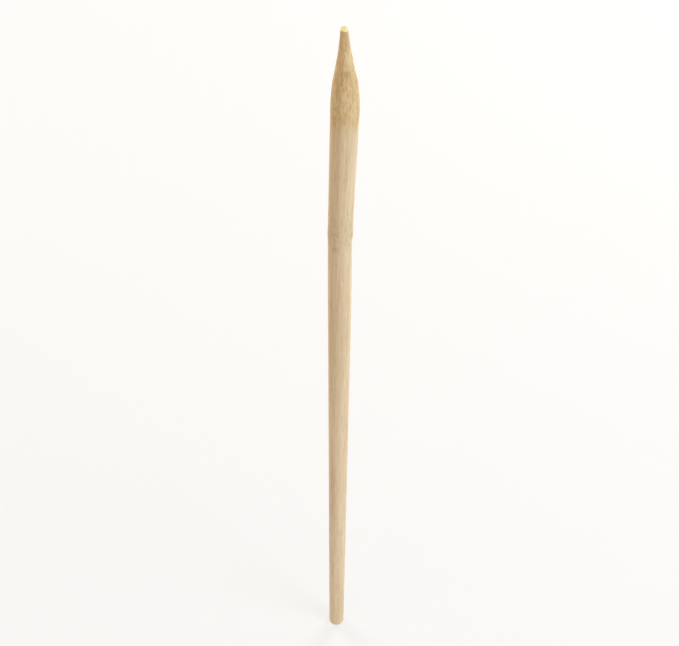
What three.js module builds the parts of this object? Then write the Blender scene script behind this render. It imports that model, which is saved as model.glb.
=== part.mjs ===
// A bamboo skewer: one slender round stick, cut square at the butt and ground to a blunt point.
// Millimetres, +Z up. The origin is the centre of the butt face and the stick runs up +Z to its tip.
import * as THREE from 'three';

// The stick
const stickLength = 254; // butt face to tip
const shaftDiameter = 4.0;
const buttChamfer = 0.18; // edge broken where the stick was cut off

// The ground point: a hollow-ground cone up to a blunt tip, rounded over into the shaft at its foot
const coneLength = 10.5; // the steep part, from the tip down to the shoulder
const shoulderLength = 6.3; // the rounded part below the cone
const shoulderDrop = 0.33; // how far the shoulder has come in where the cone starts
const coneHollow = 0.14; // how far the cone's side dips inwards, as a grinding wheel leaves it
const tipDiameter = 1.0; // the flat blunt end
const tipRounding = 0.1;
const tipOffCentre = 0.45; // the grinding leaves the tip to one side of the stick's middle

// The joint of the bamboo cane that crosses the stick, ground almost flush
const caneJointBelowTip = 48;
const caneJointSwell = 0.05; // added to the radius
const caneJointHalfWidth = 2.2;
const waistDepth = 0.17; // the stick is a little slim around the cane joint, mostly on one side
const waistHalfWidth = 18;

// How straight and how round a real stick is
const bowHeight = 0.55; // sideways, halfway from the butt to the cane joint
const kinkAngle = THREE.MathUtils.degToRad(0.8); // the stick turns this much at the cane joint
const kinkBlendLength = 5;
const ovalShare = 0.014; // two lobes round the section, as a share of the radius
const triangleShare = 0.007; // three lobes

// How finely the surface is divided
const sidesAround = 32;
const shaftStep = 9;
const caneJointSteps = 12;
const coneSteps = 9;
const shoulderSteps = 8;
const roundingSteps = 3;

const shaftRadius = shaftDiameter / 2;
const tipRadius = tipDiameter / 2;
const coneFootRadius = shaftRadius - shoulderDrop;
const coneFootHeight = stickLength - coneLength;
const pointFootHeight = coneFootHeight - shoulderLength;
const caneJointHeight = stickLength - caneJointBelowTip;

// The points of a curve after its first, which the piece before it already gives.
function pointsAfterStart(curve, steps) {
  return curve.getPoints(steps).slice(1);
}

// The butt face, its broken edge and the straight side up to the foot of the point.
function shaftOutline() {
  const outline = [
    new THREE.Vector2(0, 0),
    new THREE.Vector2(shaftRadius - buttChamfer, 0),
    new THREE.Vector2(shaftRadius, buttChamfer),
  ];
  const jointReach = 3 * caneJointHalfWidth;
  const jointFoot = caneJointHeight - jointReach;
  const jointHead = caneJointHeight + jointReach;
  const stretches = [
    [buttChamfer, jointFoot, Math.ceil((jointFoot - buttChamfer) / shaftStep)],
    [jointFoot, jointHead, caneJointSteps],
    [jointHead, pointFootHeight, Math.ceil((pointFootHeight - jointHead) / shaftStep)],
  ];
  for (const [low, high, steps] of stretches) {
    const side = new THREE.LineCurve(
      new THREE.Vector2(shaftRadius, low),
      new THREE.Vector2(shaftRadius, high),
    );
    outline.push(...pointsAfterStart(side, steps));
  }
  return outline;
}

// The shoulder that rounds the shaft over into the cone, leaving the shaft smoothly.
function shoulderOutline() {
  const foot = new THREE.Vector2(shaftRadius, pointFootHeight);
  const head = new THREE.Vector2(coneFootRadius, coneFootHeight);
  const bend = new THREE.Vector2(shaftRadius, (foot.y + head.y) / 2);
  return pointsAfterStart(new THREE.QuadraticBezierCurve(foot, bend, head), shoulderSteps);
}

// The hollow-ground cone up to the rounded edge of the blunt tip.
function coneOutline() {
  const foot = new THREE.Vector2(coneFootRadius, coneFootHeight);
  const head = new THREE.Vector2(tipRadius, stickLength - tipRounding);
  const middle = foot.clone().add(head).multiplyScalar(0.5);
  const bend = new THREE.Vector2(middle.x - 2 * coneHollow, middle.y);
  return pointsAfterStart(new THREE.QuadraticBezierCurve(foot, bend, head), coneSteps);
}

// The blunt tip: a rounded edge and the flat end.
function tipOutline() {
  const edge = new THREE.QuadraticBezierCurve(
    new THREE.Vector2(tipRadius, stickLength - tipRounding),
    new THREE.Vector2(tipRadius, stickLength),
    new THREE.Vector2(tipRadius - tipRounding, stickLength),
  );
  return [...pointsAfterStart(edge, roundingSteps), new THREE.Vector2(0, stickLength)];
}

// A bell curve that is 1 at the centre.
function bell(distance, halfWidth) {
  return Math.exp(-((distance / halfWidth) ** 2));
}

// How far the upper stretch has turned away at a height, easing in around the cane joint.
function kinkOffset(height) {
  const above = (height - caneJointHeight) / kinkBlendLength;
  return kinkBlendLength * Math.log1p(Math.exp(above)) * Math.tan(kinkAngle);
}

// How far the point leans back against that turn at a height, from its foot to the tip.
function pointLean(height) {
  const share = Math.max(height - pointFootHeight, 0) / (stickLength - pointFootHeight);
  return tipOffCentre * share ** 1.4;
}

// How far the stick's middle lies off the Z axis at a height: a gentle bow towards +Y between the
// butt and the cane joint, a slight turn towards +X at the joint, and the point's lean.
function centreOffset(height) {
  const share = Math.min(height / caneJointHeight, 1);
  const bow = bowHeight * Math.sin(Math.PI * share) ** 2;
  return new THREE.Vector2(kinkOffset(height) - kinkOffset(0) - pointLean(height), bow);
}

// The section's radius against a true circle, from the lobes and from the cane joint.
function radiusFactor(angle, height) {
  const lobes = ovalShare * Math.cos(2 * angle) + triangleShare * Math.cos(3 * angle);
  const fromJoint = height - caneJointHeight;
  const swell = caneJointSwell * bell(fromJoint, caneJointHalfWidth);
  const waist = waistDepth * bell(fromJoint, waistHalfWidth) * (1 + Math.cos(angle)) / 2;
  return 1 + lobes + (swell - waist) / shaftRadius;
}

// Gives the round turned stick its natural bow, kink, lobes and cane joint.
function growNaturally(geometry) {
  const place = geometry.getAttribute('position');
  for (let i = 0; i < place.count; i += 1) {
    const x = place.getX(i);
    const y = place.getY(i);
    const height = place.getZ(i);
    const factor = radiusFactor(Math.atan2(y, x), height);
    const offset = centreOffset(height);
    place.setXY(i, x * factor + offset.x, y * factor + offset.y);
  }
  geometry.computeVertexNormals();
  return geometry;
}

function skewerGeometry() {
  const outline = [
    ...shaftOutline(),
    ...shoulderOutline(),
    ...coneOutline(),
    ...tipOutline(),
  ];
  const turned = new THREE.LatheGeometry(outline, sidesAround);
  turned.rotateX(Math.PI / 2);
  return growNaturally(turned);
}

const bamboo = new THREE.MeshStandardMaterial({
  color: new THREE.Color().setRGB(0.87, 0.73, 0.52, THREE.SRGBColorSpace),
  roughness: 0.62,
  metalness: 0,
});

const skewer = new THREE.Mesh(skewerGeometry(), bamboo);
skewer.name = 'skewer';

const model = new THREE.Group();
model.add(skewer);

export default model;
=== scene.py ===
import math
import random

import bmesh
import bpy
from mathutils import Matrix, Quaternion, Vector, noise


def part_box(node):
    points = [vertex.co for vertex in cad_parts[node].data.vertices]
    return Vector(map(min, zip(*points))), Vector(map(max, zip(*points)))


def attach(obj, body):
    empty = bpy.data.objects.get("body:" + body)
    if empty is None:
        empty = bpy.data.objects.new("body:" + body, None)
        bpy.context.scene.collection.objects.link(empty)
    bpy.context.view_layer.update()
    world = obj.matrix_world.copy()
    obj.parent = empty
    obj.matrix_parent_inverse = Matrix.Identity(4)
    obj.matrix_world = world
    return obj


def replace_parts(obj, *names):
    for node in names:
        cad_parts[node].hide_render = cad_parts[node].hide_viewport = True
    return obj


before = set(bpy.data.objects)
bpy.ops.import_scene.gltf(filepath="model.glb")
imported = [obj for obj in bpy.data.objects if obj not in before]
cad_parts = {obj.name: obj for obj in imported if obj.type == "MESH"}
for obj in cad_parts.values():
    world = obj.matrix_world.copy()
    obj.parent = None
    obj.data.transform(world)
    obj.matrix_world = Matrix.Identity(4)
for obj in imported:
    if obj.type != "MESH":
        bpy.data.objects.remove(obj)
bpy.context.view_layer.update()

# The stick is shaped in millimetres and scaled to metres at the end
MM = 0.001
SOLID_LOW, SOLID_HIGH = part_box("skewer")
LENGTH = (SOLID_HIGH.z - SOLID_LOW.z) / MM

# The turned outline
SHAFT_RADIUS = 2.0
BUTT_CHAMFER = 0.18
CONE_LENGTH = 10.5
SHOULDER_LENGTH = 6.3
SHOULDER_DROP = 0.33
CONE_HOLLOW = 0.14
TIP_RADIUS = 0.5
TIP_ROUNDING = 0.1
TIP_OFF_CENTRE = 0.45
LEAN_CURVE = 1.4
CONE_FOOT_RADIUS = SHAFT_RADIUS - SHOULDER_DROP
CONE_FOOT = LENGTH - CONE_LENGTH
POINT_FOOT = CONE_FOOT - SHOULDER_LENGTH

# The joint of the cane, and how straight and round the stick is
CANE_JOINT = LENGTH - 48.0
CANE_JOINT_SWELL = 0.05
CANE_JOINT_HALF_WIDTH = 2.2
WAIST_DEPTH = 0.17
WAIST_HALF_WIDTH = 18.0
BOW_HEIGHT = 0.55
KINK_ANGLE = math.radians(0.8)
KINK_BLEND = 5.0
OVAL_SHARE = 0.014
TRIANGLE_SHARE = 0.007

# The ledge at the cane joint, where the upper stretch stands a little over the lower one. It slants
# and wavers round the stick, and is almost gone on the far side.
LEDGE_LIP = 0.05
LEDGE_LIP_HALF_WIDTH = 3.0
LEDGE_DIP = 0.08
LEDGE_DIP_HALF_WIDTH = 4.5
LEDGE_RISE = (-0.3, 0.15)
LEDGE_SLANT = 0.4
LEDGE_WAVER = 0.22
LEDGE_ON_FAR_SIDE = 0.05

# The swirl of the grain just above the cane joint, in the relief and, over a longer stretch, in the
# colours, which it pushes aside by up to this many millimetres
SWIRL_MIDDLE = CANE_JOINT + 2.0
SWIRL_HALF_WIDTH = 4.0
SWIRL_TINT_HALF_WIDTH = 5.5
SWIRL_PUSH = 1.5

# How far the side stands off its smooth outline: long flutes, fine fibres, which are coarser on the
# ground point, fibres torn by the wheel, and the swirl
FLUTE_RELIEF = 0.018
FIBRE_RELIEF = 0.012
GROUND_FIBRE_RELIEF = 0.008
TORN_RELIEF = 0.024
SWIRL_RELIEF = 0.028

# How deep the saw's marks are in the butt face
SAW_DEPTH = 0.025

# How finely the surface is divided
SIDES = 160
FACE_STEP = 0.2
SHAFT_STEP = 0.8
JOINT_STEP = 0.16
JOINT_REACH = 8.0
UPPER_STEP = 0.5
POINT_STEP = 0.15

# A place this close to a flat end counts as on it
END_REACH = 1e-3

# The blunt tip is chipped this deep, the chips reach this far down the point, and towards +X it is
# worn lower by this share of that depth
TIP_CHIP = 0.1
TIP_CHIP_REACH = 1.2
TIP_CHIPS_PER_MM = 3.3
TIP_WEAR = 0.4

# Scars where fibres were pulled out
SCARS = 26

# The slivers that still stand off the surface at some scars: tapered strands, flattened against the
# stick, that are rooted in it at the lower end and curl away above
RAISED_FIBRES = 10
FIBRE_SIDES = 6
FIBRE_CUTS = 8
FIBRE_WIDTH = 0.1
FIBRE_FLATNESS = 0.6
FIBRE_ROOT_DEPTH = 0.05
FIBRE_CURL = 1.7

# The wheel's marks end at about this height, a little below the foot of the point, in fingers that
# follow a noise times this many millimetres
GROUND_EDGE = POINT_FOOT - 2.4
GROUND_FINGERS = 8.0

# Fibre bundles of the cane: how many to the millimetre, how much denser they get on one side, how far
# they wander sideways along the stick in millimetres, and over what length
BUNDLES_PER_MM = 1.7
BUNDLE_CROWDING = 0.22
BUNDLE_WANDER = 1.6
BUNDLE_WANDER_LENGTH = 40.0

# Bake map: the side is cut into strips that lie next to each other, with the two ends above them
STRIPS = 5
STRIP_MARGIN = 0.006
STRIP_TOP = 0.93
END_ROW = 0.965
END_SCALE = 0.013
BUTT_COLUMN = 0.1
TIP_COLUMN = 0.3

# Edges that turn by more than this stay sharp
SHARP_ANGLE = math.radians(40)

# The floor's colour, how much of what the camera sees of it near the stick is plain white rather
# than lit, and between which distances from the stick it turns all white
FLOOR_GREY = 0.78
FLOOR_WHITE = 0.62
FLOOR_FADE = (0.12, 0.6)
FLOOR_HALF_WIDTH = 20.0

# The even light from all round, where the white background is 1
AMBIENT = 0.29

# The place on the stick that the lamps are turned towards
LAMPS_AIM = Vector((0.0, 0.0, 0.14))

# The camera stands where the photograph's does, and is aimed so that the whole stick is in view
CAMERA_PLACE = Vector((0.0, -0.1153, 0.3871))
CAMERA_ROLL = math.radians(0.6)
FRAME_WIDTH_PX = 679
FOCAL_PX = 1370
SENSOR_MM = 36.0


def bell(distance, half_width):
    """1 at the middle, falling away smoothly on both sides."""
    return math.exp(-((distance / half_width) ** 2))


def ramp(value, low, high):
    """0 below low, 1 above high, with a smooth step between."""
    share = min(max((value - low) / (high - low), 0.0), 1.0)
    return share * share * (3 - 2 * share)


def grain_noise(place, across, along, seed):
    """Noise from -1 to 1, scaled per millimetre across and along the stick."""
    return noise.noise(Vector((place.x * across + seed, place.y * across - seed, place.z * along)))


def heights(low, high, step):
    """Evenly spaced values above low, up to high, about step apart."""
    count = max(1, round(abs(high - low) / step))
    return [low + (high - low) * row / count for row in range(1, count + 1)]


def point_radius(height):
    """Radius of the ground point: the rounded shoulder, then the hollow-ground cone."""
    if height < CONE_FOOT:
        share = (height - POINT_FOOT) / SHOULDER_LENGTH
        return SHAFT_RADIUS - SHOULDER_DROP * share**2
    share = (height - CONE_FOOT) / (CONE_LENGTH - TIP_ROUNDING)
    straight = CONE_FOOT_RADIUS + (TIP_RADIUS - CONE_FOOT_RADIUS) * share
    return straight - 4 * CONE_HOLLOW * share * (1 - share)


def half_outline():
    """Radius and height of the turned stick, from the butt's middle to the tip's."""
    outline = [(0.0, 0.0)]
    outline += [(radius, 0.0) for radius in heights(0.0, SHAFT_RADIUS - BUTT_CHAMFER, FACE_STEP)]
    stretches = [
        (BUTT_CHAMFER, CANE_JOINT - JOINT_REACH, SHAFT_STEP),
        (CANE_JOINT - JOINT_REACH, CANE_JOINT + JOINT_REACH, JOINT_STEP),
        (CANE_JOINT + JOINT_REACH, POINT_FOOT, UPPER_STEP),
    ]
    outline += [(SHAFT_RADIUS - BUTT_CHAMFER / 3, BUTT_CHAMFER / 3), (SHAFT_RADIUS, BUTT_CHAMFER)]
    for low, high, step in stretches:
        outline += [(SHAFT_RADIUS, height) for height in heights(low, high, step)]
    tip_edge = LENGTH - TIP_ROUNDING
    outline += [(point_radius(height), height) for height in heights(POINT_FOOT, tip_edge, POINT_STEP)]
    for turn in (30, 60, 90):
        inwards = TIP_ROUNDING * (1 - math.cos(math.radians(turn)))
        upwards = TIP_ROUNDING * math.sin(math.radians(turn))
        outline.append((TIP_RADIUS - inwards, tip_edge + upwards))
    outline += [(radius, LENGTH) for radius in heights(TIP_RADIUS - TIP_ROUNDING, 0.0, FACE_STEP / 2)]
    return outline


def turned_stick():
    """The outline spun round, as a closed mesh with no doubled vertices."""
    stick = bmesh.new()
    points = [stick.verts.new((0.0, radius, height)) for radius, height in half_outline()]
    edges = [stick.edges.new(pair) for pair in zip(points, points[1:])]
    bmesh.ops.spin(
        stick,
        geom=points + edges,
        axis=(0, 0, 1),
        angle=math.tau,
        steps=SIDES,
        use_merge=True,
    )
    bmesh.ops.remove_doubles(stick, verts=stick.verts, dist=1e-4)
    bmesh.ops.recalc_face_normals(stick, faces=stick.faces)
    return stick


def kink_offset(height):
    """How far the upper stretch has turned away, easing in around the cane joint."""
    return KINK_BLEND * math.log1p(math.exp((height - CANE_JOINT) / KINK_BLEND)) * math.tan(KINK_ANGLE)


def centre_offset(height):
    """How far the stick's middle lies off the Z axis: its turn, its point's lean and its bow."""
    lean = TIP_OFF_CENTRE * (max(height - POINT_FOOT, 0.0) / (LENGTH - POINT_FOOT)) ** LEAN_CURVE
    bow = BOW_HEIGHT * math.sin(math.pi * min(height / CANE_JOINT, 1.0)) ** 2
    return Vector((kink_offset(height) - kink_offset(0.0) - lean, bow, 0.0))


def radius_factor(angle, height):
    """The section's radius against a true circle, from its lobes and the cane joint."""
    lobes = OVAL_SHARE * math.cos(2 * angle) + TRIANGLE_SHARE * math.cos(3 * angle)
    from_joint = height - CANE_JOINT
    swell = CANE_JOINT_SWELL * bell(from_joint, CANE_JOINT_HALF_WIDTH)
    waist = WAIST_DEPTH * bell(from_joint, WAIST_HALF_WIDTH) * (1 + math.cos(angle)) / 2
    return 1 + lobes + (swell - waist) / SHAFT_RADIUS


def ledge(angle, height):
    """The step at the cane joint, deepest on the +X side and wavering round the stick."""
    side = LEDGE_ON_FAR_SIDE + (1 - LEDGE_ON_FAR_SIDE) * ((1 + math.cos(angle)) / 2) ** 1.5
    edge = CANE_JOINT + LEDGE_SLANT * math.sin(angle + 0.6) + LEDGE_WAVER * math.sin(3 * angle)
    above = height - edge
    lip = LEDGE_LIP * bell(above, LEDGE_LIP_HALF_WIDTH)
    dip = LEDGE_DIP * bell(above, LEDGE_DIP_HALF_WIDTH)
    share = ramp(above, *LEDGE_RISE)
    return side * (share * lip - (1 - share) * dip)


def side_relief(place, angle):
    """How far the surface stands off the smooth outline at a place on the side, in millimetres."""
    ground = ramp(place.z, GROUND_EDGE, POINT_FOOT + 2.0)
    near_joint = bell(place.z - SWIRL_MIDDLE, SWIRL_HALF_WIDTH)
    fibre_relief = FIBRE_RELIEF + GROUND_FIBRE_RELIEF * ground
    flutes = FLUTE_RELIEF * grain_noise(place, across=0.9, along=0.012, seed=3.0)
    fibres = fibre_relief * grain_noise(place, across=2.8, along=0.06, seed=11.0)
    torn = TORN_RELIEF * ground * grain_noise(place, across=3.6, along=0.55, seed=23.0)
    swirl = SWIRL_RELIEF * near_joint * grain_noise(place, across=1.3, along=0.6, seed=31.0)
    return flutes + fibres + torn + swirl + ledge(angle, place.z)


def saw_depth(place):
    """How far the saw cut into the butt face, in millimetres, in lines along X."""
    return SAW_DEPTH * (1 + noise.noise(Vector((place.x * 0.7, place.y * 5.0, 0.5))))


def chip_depth(place):
    """How far the blunt tip is broken away at a place, lower towards +X, in millimetres."""
    spot = Vector((place.x * TIP_CHIPS_PER_MM, place.y * TIP_CHIPS_PER_MM, 4.0))
    chips = 1 + noise.noise(spot)
    wear = TIP_WEAR * (1 + place.x / TIP_RADIUS)
    return TIP_CHIP * (chips + wear) * ramp(place.z, LENGTH - TIP_CHIP_REACH, LENGTH)


def draw_scars(count, seed):
    """Places for the small lengthwise scars where fibres were pulled out of the surface."""
    draw = random.Random(seed)
    scars = []
    for _ in range(count):
        scars.append(
            {
                "angle": draw.uniform(-math.pi, math.pi),
                "height": draw.uniform(6.0, POINT_FOOT - 2.0),
                "half_length": draw.uniform(0.8, 3.2),
                "half_width": draw.uniform(0.07, 0.15),
                "depth": draw.uniform(0.03, 0.07),
            }
        )
    return scars


def scar_depth(scars, angle, height):
    """How deep the scars go at a place on the side, in millimetres."""
    depth = 0.0
    for scar in scars:
        along = (height - scar["height"]) / scar["half_length"]
        if abs(along) > 2:
            continue
        turn = math.remainder(angle - scar["angle"], math.tau)
        across = turn * SHAFT_RADIUS / scar["half_width"]
        if abs(across) < 3:
            depth += scar["depth"] * math.exp(-(along**4) - across**2)
    return depth


def grow_stick(stick, scars):
    """Gives the turned stick its fibres, scars, lobes, bow and turn, and notes where each point was."""
    grain = stick.verts.layers.float_vector.new("grain")
    for vertex in stick.verts:
        place = vertex.co.copy()
        radius = math.hypot(place.x, place.y)
        angle = math.atan2(place.y, place.x)
        vertex[grain] = place
        on_butt = place.z < END_REACH
        on_tip = place.z > LENGTH - END_REACH
        height = place.z - chip_depth(place)
        if on_butt and radius < SHAFT_RADIUS - BUTT_CHAMFER - END_REACH:
            height += saw_depth(place)
        grown = radius * radius_factor(angle, place.z)
        if not on_butt and not on_tip:
            grown += side_relief(place, angle) - scar_depth(scars, angle, place.z)
        shift = centre_offset(place.z)
        vertex.co = Vector((grown * math.cos(angle), grown * math.sin(angle), height)) + shift


def raised_fibres(scars):
    """Thin slivers that are still rooted at the lower end of a scar and stand off the stick above it."""
    draw = random.Random(17)
    fibres = bmesh.new()
    grain = fibres.verts.layers.float_vector.new("grain")
    for scar in scars:
        length = scar["half_length"] * draw.uniform(1.2, 1.8)
        lift = draw.uniform(0.06, 0.2)
        drift = draw.uniform(-0.3, 0.3)
        root = scar["height"] - scar["half_length"]
        first_vertex = len(fibres.verts)
        first_edge = len(fibres.edges)
        bmesh.ops.create_cone(
            fibres,
            cap_ends=True,
            segments=FIBRE_SIDES,
            radius1=FIBRE_WIDTH / 2,
            radius2=FIBRE_WIDTH / 8,
            depth=length,
        )
        fibres.edges.ensure_lookup_table()
        long_edges = [edge for edge in fibres.edges[first_edge:] if edge.calc_length() > length / 2]
        bmesh.ops.subdivide_edges(fibres, edges=long_edges, cuts=FIBRE_CUTS)
        fibres.verts.ensure_lookup_table()
        for vertex in fibres.verts[first_vertex:]:
            share = min(max(vertex.co.z / length + 0.5, 0.0), 1.0)
            height = root + share * length
            angle = scar["angle"] + (vertex.co.y + drift * share**2) / SHAFT_RADIUS
            stand = lift * share**FIBRE_CURL - FIBRE_ROOT_DEPTH * (1 - share)
            thickness = vertex.co.x * FIBRE_FLATNESS
            radius = SHAFT_RADIUS * radius_factor(angle, height) + stand + thickness
            place = Vector((radius * math.cos(angle), radius * math.sin(angle), height))
            vertex[grain] = place
            vertex.co = place + centre_offset(height)
    bmesh.ops.recalc_face_normals(fibres, faces=fibres.faces)
    return fibres


def unroll(stick):
    """Lays the side out as strips side by side, and the two ends as discs above them."""
    bake_map = stick.loops.layers.uv.new("OFBake")
    grain = stick.verts.layers.float_vector["grain"]
    strip_width = 1 / STRIPS
    strip_length = LENGTH / STRIPS
    for face in stick.faces:
        corners = [loop.vert[grain] for loop in face.loops]
        middle = sum(corners, Vector()) / len(corners)
        on_butt = middle.z < END_REACH
        on_tip = middle.z > LENGTH - END_REACH
        middle_turn = math.atan2(middle.x, -middle.y)
        strip = min(int(middle.z / strip_length), STRIPS - 1)
        for loop, corner in zip(face.loops, corners):
            if on_butt or on_tip:
                column = BUTT_COLUMN if on_butt else TIP_COLUMN
                loop[bake_map].uv = (column + corner.x * END_SCALE, END_ROW + corner.y * END_SCALE)
                continue
            turn = math.atan2(corner.x, -corner.y) - middle_turn
            around = (middle_turn + math.remainder(turn, math.tau)) / math.tau + 0.5
            across = strip * strip_width + STRIP_MARGIN + around * (strip_width - 2 * STRIP_MARGIN)
            along = (corner.z - strip * strip_length) / strip_length
            loop[bake_map].uv = (across, STRIP_MARGIN + along * (STRIP_TOP - 2 * STRIP_MARGIN))


def finished_piece(shape, name, material):
    """Turns a shape in millimetres into a piece in metres that moves with the stick."""
    bmesh.ops.scale(shape, vec=(MM, MM, MM), verts=shape.verts)
    mesh = bpy.data.meshes.new(name)
    shape.to_mesh(mesh)
    shape.free()
    mesh.shade_smooth()
    mesh.set_sharp_from_angle(angle=SHARP_ANGLE)
    mesh.materials.append(material)
    piece = bpy.data.objects.new(name, mesh)
    bpy.context.scene.collection.objects.link(piece)
    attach(piece, "root")
    return piece


class Wire:
    """A socket of a material's nodes. Arithmetic on it adds Math nodes."""

    def __init__(self, tree, socket=None):
        self.tree = tree
        self.socket = socket

    def node(self, kind, settings=None, inputs=None, output=0):
        """Adds a node, with its settings first and then the values or links of its sockets."""
        made = self.tree.nodes.new("ShaderNode" + kind)
        for name, value in (settings or {}).items():
            setattr(made, name, value)
        for name, value in (inputs or {}).items():
            if isinstance(value, Wire):
                self.tree.links.new(value.socket, made.inputs[name])
            else:
                made.inputs[name].default_value = value
        return Wire(self.tree, made.outputs[output] if made.outputs else None)

    def maths(self, operation, *values):
        return self.node("Math", {"operation": operation}, dict(enumerate(values)))

    def __add__(self, other):
        return self.maths("ADD", self, other)

    def __radd__(self, other):
        return self.maths("ADD", other, self)

    def __sub__(self, other):
        return self.maths("SUBTRACT", self, other)

    def __rsub__(self, other):
        return self.maths("SUBTRACT", other, self)

    def __mul__(self, other):
        return self.maths("MULTIPLY", self, other)

    def __rmul__(self, other):
        return self.maths("MULTIPLY", other, self)

    def step(self, low, high):
        """0 at low and 1 at high, with a smooth step between; low may be the larger."""
        return self.node(
            "MapRange",
            {"interpolation_type": "SMOOTHSTEP"},
            {"Value": self, "From Min": low, "From Max": high},
        )

    def paint(self, below, above):
        """Mixes two colours, with this wire as the share of the second."""
        return self.node("Mix", {"data_type": "RGBA"}, {0: self, 6: below, 7: above}, output=2)

    def axis(self, name):
        """The X, Y or Z of this place."""
        return self.node("SeparateXYZ", {}, {0: self}, output=name)

    def stretched(self, across, along):
        """This place, scaled across and along the stick."""
        scale = (across, across, along)
        return self.node("VectorMath", {"operation": "MULTIPLY"}, {0: self, 1: scale})

    def pushed(self, direction, reach):
        """This place, moved by a colour taken as a direction, times a reach."""
        centred = self.node("VectorMath", {"operation": "SUBTRACT"}, {0: direction, 1: (0.5, 0.5, 0.5)})
        push = self.node("VectorMath", {"operation": "SCALE"}, {0: centred, "Scale": reach})
        return self.node("VectorMath", {"operation": "ADD"}, {0: self, 1: push})

    def noise(self, detail=2.0, output="Fac"):
        """Noise between 0 and 1 at this place, or three of them as a colour with output Color."""
        return self.node(
            "TexNoise",
            {"noise_dimensions": "3D"},
            {"Vector": self, "Scale": 1.0, "Detail": detail, "Roughness": 0.5},
            output,
        )

    def cells(self):
        """How far this place is from the middle of the nearest of many scattered cells."""
        return self.node(
            "TexVoronoi",
            {"voronoi_dimensions": "2D"},
            {"Vector": self, "Scale": 1.0},
            "Distance",
        )


def colour(red, green, blue):
    """A display colour from 0 to 255 as the linear colour that a socket takes."""
    linear = []
    for value in (red, green, blue):
        share = value / 255
        linear.append(share / 12.92 if share <= 0.04045 else ((share + 0.055) / 1.055) ** 2.4)
    return (*linear, 1.0)


def new_material(name):
    """An empty material, with a wire to start its nodes from."""
    material = bpy.data.materials.new(name)
    material.use_nodes = True
    material.node_tree.nodes.clear()
    return material, Wire(material.node_tree)


# The skin's colours
PALE_STRAW = colour(228, 206, 171)
STRAW = colour(218, 194, 157)
SKIN_DARK_STREAK = colour(196, 160, 113)
SKIN_LIGHT_STREAK = colour(240, 221, 185)
SKIN_DARK_DASH = colour(190, 156, 108)
SKIN_LIGHT_DASH = colour(243, 225, 192)
SKIN_BUNDLE = colour(186, 144, 97)
SKIN_HAIR = colour(190, 152, 108)
SKIN_FLECK = colour(178, 136, 92)
# The joint's own duller tone, darkened further as painted shade round the cane joint
JOINT_TONE_AND_SHADE = colour(200, 176, 136)
JOINT_SMUDGE = colour(180, 147, 102)

# The ground point's colours
PALE_CUT = colour(225, 198, 150)
CUT = colour(213, 183, 132)
CUT_BUNDLE = colour(170, 134, 84)
CUT_MOTTLE = colour(176, 146, 99)
CUT_DARK_DASH = colour(162, 130, 85)
CUT_LIGHT_DASH = colour(236, 212, 168)
CUT_HAIR = colour(168, 132, 84)

# The two ends' colours
# The chipped tip's pale face, painted brighter than the butt's end grain as a highlight where it faces
# up
TIP_FACE_AND_HIGHLIGHT = colour(253, 236, 178)
BUTT_TISSUE = colour(226, 198, 150)
BUTT_BUNDLE = colour(160, 118, 74)


def bundle_share(place):
    """1 inside a fibre bundle of the cane, 0 in the soft tissue between bundles."""
    drift = place.stretched(0.1, 1 / BUNDLE_WANDER_LENGTH).noise(output="Color")
    spot = place.pushed(drift, BUNDLE_WANDER)
    x = spot.axis("X")
    crowded = x * (BUNDLES_PER_MM + BUNDLE_CROWDING * x)
    across = spot.axis("Y") * BUNDLES_PER_MM
    return place.node("CombineXYZ", {}, {0: crowded, 1: across}).cells().step(0.34, 0.2)


def swirl_share(height):
    """1 at the middle of the swirl above the cane joint, falling away along the stick; it also sets how
    far the painted shade round the joint reaches.
    """
    from_middle = (height - SWIRL_MIDDLE) * (1 / SWIRL_TINT_HALF_WIDTH)
    return height.maths("EXPONENT", -1.0 * from_middle * from_middle)


def ground_share(place, height):
    """1 where the wheel opened the cane and 0 on its skin, with fingers of the one in the other."""
    fingers = place.stretched(3.2, 0.16).noise(detail=3.0)
    return (height - GROUND_EDGE + (fingers - 0.5) * GROUND_FINGERS).step(-0.9, 1.6)


def skin_colour(place, bundle, joint):
    """Straw, with fine darker and lighter streaks, brown fibres and flecks, smudges at the joint, and
    painted shade round it.
    """
    broad = place.stretched(0.4, 0.02).noise()
    streak = place.stretched(3.0, 0.05).noise(detail=3.0)
    dash = place.stretched(4.6, 0.24).noise()
    hair = place.stretched(9.0, 0.14).noise()
    fleck = place.stretched(7.0, 1.3).noise()
    smudge = place.stretched(1.5, 0.55).noise(detail=3.0)

    skin = broad.step(0.3, 0.7).paint(PALE_STRAW, STRAW)
    skin = (streak.step(0.5, 0.74) * 0.4).paint(skin, SKIN_DARK_STREAK)
    skin = (streak.step(0.46, 0.28) * 0.4).paint(skin, SKIN_LIGHT_STREAK)
    skin = (dash.step(0.54, 0.7) * 0.3).paint(skin, SKIN_DARK_DASH)
    skin = (dash.step(0.44, 0.28) * 0.35).paint(skin, SKIN_LIGHT_DASH)
    skin = (bundle * 0.16).paint(skin, SKIN_BUNDLE)
    skin = (hair.step(0.54, 0.76) * 0.3).paint(skin, SKIN_HAIR)
    skin = (fleck.step(0.62, 0.76) * 0.3).paint(skin, SKIN_FLECK)
    # Painted shade: a darker band round the cane joint, with some of the joint's own duller tone
    skin = (joint * 0.3).paint(skin, JOINT_TONE_AND_SHADE)
    return (joint * smudge.step(0.5, 0.66) * 0.34).paint(skin, JOINT_SMUDGE)


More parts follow.
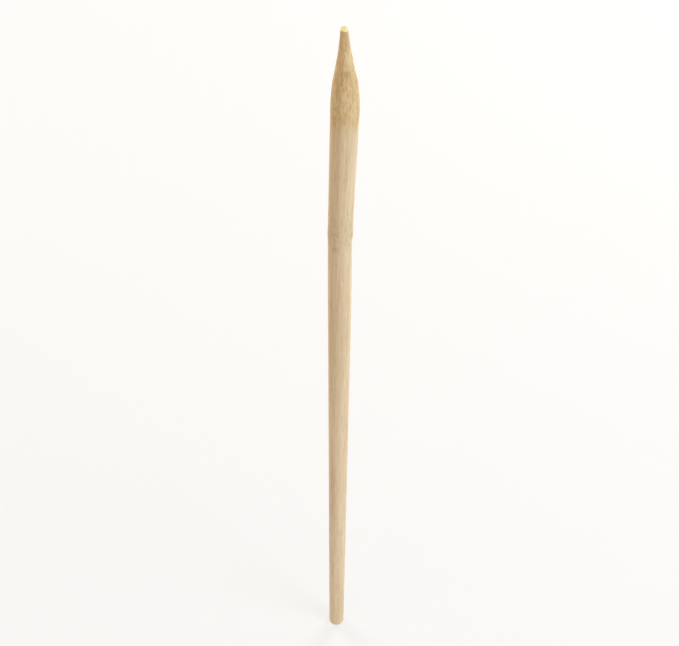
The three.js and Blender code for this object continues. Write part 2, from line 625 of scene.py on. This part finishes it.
def ground_colour(place, bundle):
    """Where the wheel opened the cane: duller and greener, mottled, with cut fibres as short dashes."""
    tone = place.stretched(0.9, 0.14).noise()
    mottle = place.stretched(2.6, 0.7).noise(detail=3.0)
    dash = place.stretched(5.5, 0.9).noise()
    hair = place.stretched(9.0, 0.3).noise()

    cut = tone.step(0.32, 0.68).paint(PALE_CUT, CUT)
    cut = (bundle * 0.3).paint(cut, CUT_BUNDLE)
    cut = (mottle.step(0.5, 0.7) * 0.42).paint(cut, CUT_MOTTLE)
    cut = (dash.step(0.54, 0.7) * 0.38).paint(cut, CUT_DARK_DASH)
    cut = (dash.step(0.44, 0.3) * 0.5).paint(cut, CUT_LIGHT_DASH)
    return (hair.step(0.5, 0.72) * 0.3).paint(cut, CUT_HAIR)


def with_ends(side, place, height, bundle):
    """The side's colour, with the pale chipped face of the tip, painted brighter as a highlight, and the
    end grain of the butt.
    """
    chips = place.stretched(4.0, 4.0).noise()
    on_tip = (height + (chips - 0.5) * 0.3).step(LENGTH - 0.16, LENGTH - 0.06)
    # Painted highlight: the tip face is paler than its own colour, as if lit from above
    with_tip = (on_tip * 0.92).paint(side, TIP_FACE_AND_HIGHLIGHT)
    end_grain = bundle.paint(BUTT_TISSUE, BUTT_BUNDLE)
    return height.step(0.06, 0.0).paint(with_tip, end_grain)


def bamboo():
    """Bare bamboo: straw-coloured skin, a duller and rougher ground point, and two cut ends."""
    material, start = new_material("bamboo")
    place = start.node("Attribute", {"attribute_name": "grain"}, output="Vector")
    height = place.axis("Z")

    joint = swirl_share(height)
    bends = place.stretched(0.8, 0.3).noise(output="Color")
    grown = place.pushed(bends, joint * SWIRL_PUSH)
    bundle = bundle_share(grown)
    ground = ground_share(place, height)
    side = ground.paint(skin_colour(grown, bundle, joint), ground_colour(place, bundle))

    streak = grown.stretched(3.0, 0.05).noise(detail=3.0)
    hair = grown.stretched(9.0, 0.14).noise()
    fleck = place.stretched(6.0, 1.1).noise(detail=3.0)
    relief = streak * 0.5 + hair * 0.5 + fleck * (ground * 0.9 + 0.12) + bundle * ground * 0.3
    bump = start.node("Bump", {}, {"Strength": 0.8, "Distance": 0.00003, "Height": relief})
    shader = start.node(
        "BsdfPrincipled",
        {},
        {
            "Base Color": with_ends(side, place, height, bundle),
            "Roughness": 0.56 + streak * 0.1 + ground * 0.1,
            "Normal": bump,
            "IOR": 1.45,
        },
    )
    start.node("OutputMaterial", {}, {"Surface": shader})
    return material


def backdrop_share(start):
    """1 for the rays that see the background: the camera's, and those through gloss and glass."""
    seen = start.node("LightPath", {}, {}, output="Is Camera Ray")
    glossy = start.node("LightPath", {}, {}, output="Is Glossy Ray")
    passed = start.node("LightPath", {}, {}, output="Is Transmission Ray")
    return start.maths("MINIMUM", seen + glossy + passed, 1.0)


def make_floor():
    """A wide white floor under the butt that keeps the stick's shadow."""
    material, start = new_material("white_floor")
    lit = start.node("BsdfDiffuse", {}, {"Color": (FLOOR_GREY, FLOOR_GREY, FLOOR_GREY, 1.0)})
    white = start.node("Emission", {}, {"Color": (1.0, 1.0, 1.0, 1.0), "Strength": 1.0})
    place = start.node("TexCoord", output="Object")
    distance = place.node("VectorMath", {"operation": "LENGTH"}, {0: place}, output="Value")
    white_share = FLOOR_WHITE + (1 - FLOOR_WHITE) * distance.step(*FLOOR_FADE)
    share = backdrop_share(start) * white_share
    surface = start.node("MixShader", {}, {0: share, 1: lit, 2: white})
    start.node("OutputMaterial", {}, {"Surface": surface})
    shape = bmesh.new()
    bmesh.ops.create_grid(shape, x_segments=1, y_segments=1, size=FLOOR_HALF_WIDTH)
    mesh = bpy.data.meshes.new("floor")
    shape.to_mesh(mesh)
    shape.free()
    mesh.materials.append(material)
    floor = bpy.data.objects.new("floor", mesh)
    bpy.context.scene.collection.objects.link(floor)


def make_world():
    """Even light from all round, and plain white where the background is seen."""
    world = bpy.data.worlds.new("studio")
    bpy.context.scene.world = world
    world.use_nodes = True
    world.node_tree.nodes.clear()
    start = Wire(world.node_tree)
    strength = AMBIENT + backdrop_share(start) * (1 - AMBIENT)
    light = start.node("Background", {}, {"Color": (1.0, 1.0, 1.0, 1.0), "Strength": strength})
    start.node("OutputWorld", {}, {"Surface": light})


def make_lamp(name, place, size, power, tint=(1.0, 1.0, 1.0)):
    """A soft square lamp at a place, turned towards the stick."""
    lamp = bpy.data.lights.new(name, "AREA")
    lamp.shape = "SQUARE"
    lamp.size = size
    lamp.energy = power
    lamp.color = tint
    holder = bpy.data.objects.new(name, lamp)
    holder.location = place
    holder.rotation_mode = "QUATERNION"
    holder.rotation_quaternion = (LAMPS_AIM - Vector(place)).to_track_quat("-Z", "Y")
    bpy.context.scene.collection.objects.link(holder)


def beside(turn, distance, height):
    """A place beside the stick, at a turn in degrees from the camera's side of it towards +X."""
    angle = math.radians(turn)
    return (distance * math.sin(angle), -distance * math.cos(angle), height)


def make_lamps():
    """A cool key from the right, two rims from behind, a warm fill from the left and one from above."""
    make_lamp("key_right", beside(64, 0.72, 0.34), 0.4, 3.5, (0.91, 0.95, 1.0))
    make_lamp("rim_right", beside(148, 0.5, 0.28), 0.25, 1.5, (1.0, 0.94, 0.82))
    make_lamp("rim_left", beside(-138, 0.45, 0.4), 0.25, 1.15, (1.0, 0.9, 0.74))
    make_lamp("fill_left", beside(-55, 0.7, 0.4), 0.6, 1.3, (1.0, 0.7, 0.4))
    make_lamp("top", (0.0, -0.1, 1.0), 0.5, 1.8)


def make_camera():
    """The camera, its sight halfway between the tip and the butt as it sees them."""
    camera = bpy.data.cameras.new("camera")
    camera.sensor_width = SENSOR_MM
    camera.lens = FOCAL_PX * SENSOR_MM / FRAME_WIDTH_PX
    camera.clip_start = 0.01
    camera.clip_end = 60.0
    to_tip = Vector((0.0, 0.0, LENGTH * MM)) - CAMERA_PLACE
    to_butt = Vector() - CAMERA_PLACE
    sight = to_tip.normalized() + to_butt.normalized()
    holder = bpy.data.objects.new("camera", camera)
    holder.location = CAMERA_PLACE
    holder.rotation_mode = "QUATERNION"
    roll = Quaternion((0.0, 0.0, 1.0), CAMERA_ROLL)
    holder.rotation_quaternion = sight.to_track_quat("-Z", "Y") @ roll
    bpy.context.scene.collection.objects.link(holder)
    bpy.context.scene.camera = holder


def make_skewer(material):
    """The stick, and the slivers that stand off it away from the cane joint."""
    scars = draw_scars(SCARS, seed=5)
    stick = turned_stick()
    grow_stick(stick, scars)
    unroll(stick)
    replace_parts(finished_piece(stick, "bamboo_skewer", material), "skewer")
    away_from_joint = [scar for scar in scars if abs(scar["height"] - CANE_JOINT) > JOINT_REACH]
    finished_piece(raised_fibres(away_from_joint[:RAISED_FIBRES]), "raised_fibres", material)


make_camera()
make_world()
make_lamps()
make_floor()
make_skewer(bamboo())
bpy.context.scene.view_settings.view_transform = "Standard"
bpy.context.view_layer.update()
